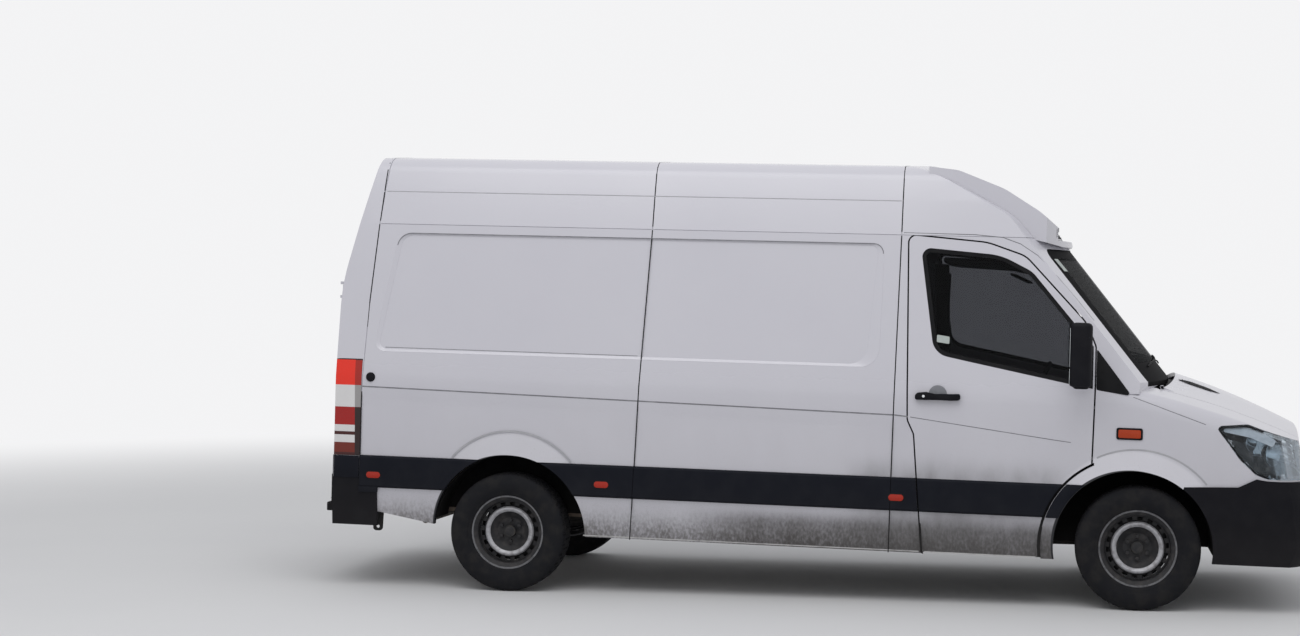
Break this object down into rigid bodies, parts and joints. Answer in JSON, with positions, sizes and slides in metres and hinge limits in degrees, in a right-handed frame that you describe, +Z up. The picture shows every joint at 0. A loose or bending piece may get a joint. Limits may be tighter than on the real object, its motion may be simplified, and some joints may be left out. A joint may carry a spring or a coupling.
{
  "type": "panel van",
  "caption": "White long-wheelbase panel van with a raised roof, an over-cab cooling-unit fairing, opening cab and rear doors, bonnet, steering and rolling wheels.",
  "frame": {"origin": "on the ground, under the middle of the van in length and width", "axes": "+X forward along the van, +Y to its left side, +Z up; the body leans nose down by 1.2 degrees, as in the picture"},
  "size_m": [5.9402, 2.426, 2.626],
  "materials": {
    "white_paint": "gloss",
    "black_plastic": "satin",
    "interior_plastic": "matt",
    "floor_lining": "matt",
    "window_glass": "clear",
    "lamp_clear": "clear",
    "lamp_red": "gloss",
    "lamp_amber": "gloss",
    "seat_cloth": "woven",
    "chassis_black": "satin",
    "engine_iron": "rough",
    "exhaust_steel": "dull",
    "wheel_steel": "satin",
    "tyre_rubber": "matt"
  },
  "bodies": {
    "body": {"arch_liners": "black_plastic", "bulkhead": "interior_plastic", "cab_floor": "interior_plastic", "cab_frame": "white_paint", "chassis_frame": "chassis_black", "cowl": "black_plastic", "dashboard": "interior_plastic", "exhaust": "exhaust_steel", "fender_left": "white_paint", "fender_right": "white_paint", "front_axle": "chassis_black", "front_bumper": "black_plastic", "fuel_tank": "black_plastic", "grille": "black_plastic", "headlamps": "lamp_clear", "leaf_springs": "chassis_black", "load_floor": "floor_lining", "marker_lamps": "lamp_amber", "mid_frame_left": "white_paint", "mid_panel_right": "white_paint", "powertrain": "engine_iron", "quarter_left": "white_paint", "quarter_right": "white_paint", "rear_axle": "chassis_black", "rear_bumper": "black_plastic", "rear_frame": "white_paint", "roof": "white_paint", "roof_fairing": "white_paint", "rub_strips": "black_plastic", "seats": "seat_cloth", "sliding_door": "white_paint", "tail_lamps": "lamp_red", "towing_eye": "chassis_black", "windscreen": "window_glass"},
    "door_right": {"door_right": "white_paint", "door_glass_right": "window_glass", "door_trim_right": "black_plastic", "mirror_right": "black_plastic"},
    "door_left": {"door_left": "white_paint", "door_glass_left": "window_glass", "door_trim_left": "black_plastic", "mirror_left": "black_plastic"},
    "rear_door_right": {"rear_door_right": "white_paint"},
    "rear_door_left": {"rear_door_left": "white_paint"},
    "bonnet": {"bonnet": "white_paint"},
    "steering_wheel": {"steering_wheel": "interior_plastic"},
    "knuckle_right": {"knuckle_right": "chassis_black"},
    "knuckle_left": {"knuckle_left": "chassis_black"},
    "wheel_front_right": {"wheel_front_right": "wheel_steel", "tyre_front_right": "tyre_rubber"},
    "wheel_front_left": {"wheel_front_left": "wheel_steel", "tyre_front_left": "tyre_rubber"},
    "wheel_rear_right": {"wheel_rear_right": "wheel_steel", "tyre_rear_right": "tyre_rubber"},
    "wheel_rear_left": {"wheel_rear_left": "wheel_steel", "tyre_rear_left": "tyre_rubber"}
  },
  "joints": [
    {"name": "steer_right", "type": "hinge", "parent": "body", "child": "knuckle_right", "pos_m": [1.92427, -0.742, 0.35], "axis": [0, 0, 1], "range_deg": [-35, 35]},
    {"name": "steer_left", "type": "hinge", "parent": "body", "child": "knuckle_left", "pos_m": [1.92427, 0.742, 0.35], "axis": [0, 0, 1], "range_deg": [-35, 35]},
    {"name": "steering_wheel_turn", "type": "hinge", "parent": "body", "child": "steering_wheel", "pos_m": [1.36003, -0.43, 1.19733], "axis": [-0.907, 0, 0.4212], "range_deg": [-600, 600]},
    {"name": "spin_front_right", "type": "hinge", "parent": "knuckle_right", "child": "wheel_front_right", "pos_m": [1.92427, -0.855, 0.35], "axis": [0, 1, 0], "continuous": true},
    {"name": "spin_front_left", "type": "hinge", "parent": "knuckle_left", "child": "wheel_front_left", "pos_m": [1.92427, 0.855, 0.35], "axis": [0, 1, 0], "continuous": true},
    {"name": "spin_rear_right", "type": "hinge", "parent": "body", "child": "wheel_rear_right", "pos_m": [-1.74073, -0.858, 0.35], "axis": [0, 1, 0], "continuous": true},
    {"name": "spin_rear_left", "type": "hinge", "parent": "body", "child": "wheel_rear_left", "pos_m": [-1.74073, 0.858, 0.35], "axis": [0, 1, 0], "continuous": true},
    {"name": "door_right_hinge", "type": "hinge", "parent": "body", "child": "door_right", "pos_m": [1.64194, -0.973, 0.99938], "axis": [0.0209, 0, 0.9998], "range_deg": [0, 70]},
    {"name": "door_left_hinge", "type": "hinge", "parent": "body", "child": "door_left", "pos_m": [1.64194, 0.973, 0.99938], "axis": [-0.0209, 0, -0.9998], "range_deg": [0, 70]},
    {"name": "rear_door_right_hinge", "type": "hinge", "parent": "body", "child": "rear_door_right", "pos_m": [-2.81989, -0.803, 1.29288], "axis": [0.0209, 0, 0.9998], "range_deg": [0, 180]},
    {"name": "rear_door_left_hinge", "type": "hinge", "parent": "body", "child": "rear_door_left", "pos_m": [-2.81989, 0.803, 1.29288], "axis": [-0.0209, 0, -0.9998], "range_deg": [0, 180]},
    {"name": "bonnet_hinge", "type": "hinge", "parent": "body", "child": "bonnet", "pos_m": [2.06634, 0, 1.25255], "axis": [0, -1, 0], "range_deg": [0, 55]}
  ],
  "couplings": [
    {"joint": "steer_left", "follows": "steer_right", "ratio": 1},
    {"joint": "steering_wheel_turn", "follows": "steer_right", "ratio": 17}
  ]
}
